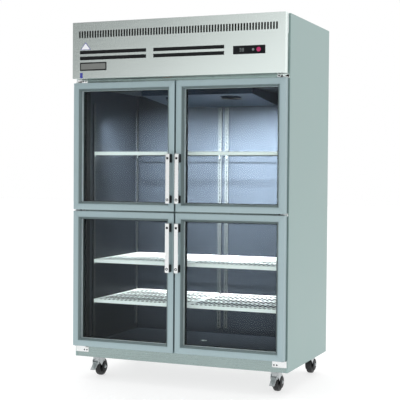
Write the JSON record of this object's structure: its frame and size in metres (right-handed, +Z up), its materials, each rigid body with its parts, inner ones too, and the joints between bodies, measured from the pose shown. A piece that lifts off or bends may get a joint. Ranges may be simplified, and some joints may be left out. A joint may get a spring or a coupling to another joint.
{
  "type": "reach in refrigerator",
  "caption": "Upright stainless reach-in refrigerator with half-height glass doors, wire shelves, a hinged louvred top panel over its cooling unit, and swivel casters.",
  "frame": {"origin": "on the floor, under the middle of the cabinet's width and of its depth over the door handles", "axes": "+Z up, the doors face -Y, +X to the right of a person facing the doors"},
  "size_m": [1.26, 0.835, 2],
  "materials": {
    "cabinet_steel": "fine vertical grain stainless sheet, slightly green grey",
    "panel_steel": "bright stainless sheet, fine horizontal grain",
    "plain_steel": "galvanised sheet",
    "liner_steel": "satin stainless liner",
    "door_aluminium": "satin anodised extrusion, blue grey",
    "insulation_foam": "foamed-in polyurethane",
    "door_glass": "clear insulated glass",
    "gasket_rubber": "soft magnetic seal",
    "polished_metal": "polished",
    "shelf_coating": "white epoxy coated wire",
    "caster_zinc": "zinc plated pressing",
    "caster_tyre": "black rubber tread and core",
    "black_plastic": "moulded black plastic",
    "black_paint": "satin black enamel",
    "coil_fins": "thin pressed fins",
    "red_button": "moulded red cap",
    "grey_button": "moulded grey cap"
  },
  "bodies": {
    "cabinet": {"left_side_panel": "cabinet_steel", "right_side_panel": "cabinet_steel", "face_frame": "cabinet_steel", "back_panel": "plain_steel", "base_panel": "plain_steel", "foam_insulation": "insulation_foam", "inner_liner": "liner_steel", "evaporator_cover": "liner_steel", "compressor": "black_paint", "condenser_coil": "coil_fins", "evaporator_coil": "coil_fins", "condenser_shroud": "plain_steel", "control_box": "plain_steel", "left_shelf_1": "shelf_coating", "left_shelf_2": "shelf_coating", "left_shelf_3": "shelf_coating", "left_shelf_4": "shelf_coating", "left_top_hinge": "polished_metal", "left_centre_hinge": "polished_metal", "left_bottom_hinge": "polished_metal", "right_shelf_1": "shelf_coating", "right_shelf_2": "shelf_coating", "right_shelf_3": "shelf_coating", "right_shelf_4": "shelf_coating", "right_top_hinge": "polished_metal", "right_centre_hinge": "polished_metal", "right_bottom_hinge": "polished_metal"},
    "upper_left_door": {"upper_left_door_frame": "door_aluminium", "upper_left_door_glass": "door_glass", "upper_left_door_gasket": "gasket_rubber", "upper_left_door_handle": "polished_metal"},
    "upper_right_door": {"upper_right_door_frame": "door_aluminium", "upper_right_door_glass": "door_glass", "upper_right_door_gasket": "gasket_rubber", "upper_right_door_handle": "polished_metal"},
    "lower_left_door": {"lower_left_door_frame": "door_aluminium", "lower_left_door_glass": "door_glass", "lower_left_door_gasket": "gasket_rubber", "lower_left_door_handle": "polished_metal"},
    "lower_right_door": {"lower_right_door_frame": "door_aluminium", "lower_right_door_glass": "door_glass", "lower_right_door_gasket": "gasket_rubber", "lower_right_door_handle": "polished_metal"},
    "front_panel": {"front_panel": "panel_steel", "controller": "black_plastic"},
    "power_button": {"power_button": "red_button"},
    "set_button": {"set_button": "grey_button"},
    "front_left_swivel": {"front_left_caster_fork": "caster_zinc"},
    "front_left_wheel": {"front_left_caster_wheel": "caster_tyre"},
    "front_left_brake": {"front_left_brake_pedal": "caster_zinc"},
    "rear_left_swivel": {"rear_left_caster_fork": "caster_zinc"},
    "rear_left_wheel": {"rear_left_caster_wheel": "caster_tyre"},
    "front_right_swivel": {"front_right_caster_fork": "caster_zinc"},
    "front_right_wheel": {"front_right_caster_wheel": "caster_tyre"},
    "front_right_brake": {"front_right_brake_pedal": "caster_zinc"},
    "rear_right_swivel": {"rear_right_caster_fork": "caster_zinc"},
    "rear_right_wheel": {"rear_right_caster_wheel": "caster_tyre"},
    "condenser_fan": {"condenser_fan": "black_plastic"},
    "evaporator_fan_left": {"evaporator_fan_left": "black_plastic"},
    "evaporator_fan_right": {"evaporator_fan_right": "black_plastic"}
  },
  "joints": [
    {"name": "upper_left_door_hinge", "type": "hinge", "parent": "cabinet", "child": "upper_left_door", "pos_m": [-0.612, -0.35, 1.31175], "axis": [0, 0, -1], "range_deg": [0, 110]},
    {"name": "upper_right_door_hinge", "type": "hinge", "parent": "cabinet", "child": "upper_right_door", "pos_m": [0.612, -0.35, 1.31175], "axis": [0, 0, 1], "range_deg": [0, 110]},
    {"name": "lower_left_door_hinge", "type": "hinge", "parent": "cabinet", "child": "lower_left_door", "pos_m": [-0.612, -0.35, 0.57125], "axis": [0, 0, -1], "range_deg": [0, 110]},
    {"name": "lower_right_door_hinge", "type": "hinge", "parent": "cabinet", "child": "lower_right_door", "pos_m": [0.612, -0.35, 0.57125], "axis": [0, 0, 1], "range_deg": [0, 110]},
    {"name": "front_panel_hinge", "type": "hinge", "parent": "cabinet", "child": "front_panel", "pos_m": [0, -0.345, 1.992], "axis": [-1, 0, 0], "range_deg": [0, 75]},
    {"name": "power_button_press", "type": "slide", "parent": "front_panel", "child": "power_button", "axis": [0, 1, 0], "range_m": [0, 0.001], "stiffness_N_per_m": 600, "springref_m": -0.001},
    {"name": "set_button_press", "type": "slide", "parent": "front_panel", "child": "set_button", "axis": [0, 1, 0], "range_m": [0, 0.001], "stiffness_N_per_m": 600, "springref_m": -0.001},
    {"name": "front_left_swivel", "type": "hinge", "parent": "cabinet", "child": "front_left_swivel", "pos_m": [-0.535, -0.225, 0.12], "axis": [0, 0, 1], "continuous": true},
    {"name": "front_left_roll", "type": "hinge", "parent": "front_left_swivel", "child": "front_left_wheel", "pos_m": [-0.535, -0.195, 0.05], "axis": [1, 0, 0], "continuous": true},
    {"name": "front_left_brake", "type": "hinge", "parent": "front_left_swivel", "child": "front_left_brake", "pos_m": [-0.535, -0.26, 0.08], "axis": [1, 0, 0], "range_deg": [0, 14]},
    {"name": "rear_left_swivel", "type": "hinge", "parent": "cabinet", "child": "rear_left_swivel", "pos_m": [-0.552, 0.34, 0.12], "axis": [0, 0, 1], "continuous": true},
    {"name": "rear_left_roll", "type": "hinge", "parent": "rear_left_swivel", "child": "rear_left_wheel", "pos_m": [-0.552, 0.37, 0.05], "axis": [1, 0, 0], "continuous": true},
    {"name": "front_right_swivel", "type": "hinge", "parent": "cabinet", "child": "front_right_swivel", "pos_m": [0.535, -0.225, 0.12], "axis": [0, 0, 1], "continuous": true},
    {"name": "front_right_roll", "type": "hinge", "parent": "front_right_swivel", "child": "front_right_wheel", "pos_m": [0.535, -0.195, 0.05], "axis": [1, 0, 0], "continuous": true},
    {"name": "front_right_brake", "type": "hinge", "parent": "front_right_swivel", "child": "front_right_brake", "pos_m": [0.535, -0.26, 0.08], "axis": [1, 0, 0], "range_deg": [0, 14]},
    {"name": "rear_right_swivel", "type": "hinge", "parent": "cabinet", "child": "rear_right_swivel", "pos_m": [0.552, 0.34, 0.12], "axis": [0, 0, 1], "continuous": true},
    {"name": "rear_right_roll", "type": "hinge", "parent": "rear_right_swivel", "child": "rear_right_wheel", "pos_m": [0.552, 0.37, 0.05], "axis": [1, 0, 0], "continuous": true},
    {"name": "condenser_fan_spin", "type": "hinge", "parent": "cabinet", "child": "condenser_fan", "pos_m": [-0.37, -0.174, 1.815], "axis": [0, 1, 0], "continuous": true},
    {"name": "evaporator_fan_left_spin", "type": "hinge", "parent": "cabinet", "child": "evaporator_fan_left", "pos_m": [-0.17, 0.02, 1.62], "axis": [0, 0, 1], "continuous": true},
    {"name": "evaporator_fan_right_spin", "type": "hinge", "parent": "cabinet", "child": "evaporator_fan_right", "pos_m": [0.17, 0.02, 1.62], "axis": [0, 0, 1], "continuous": true}
  ]
}
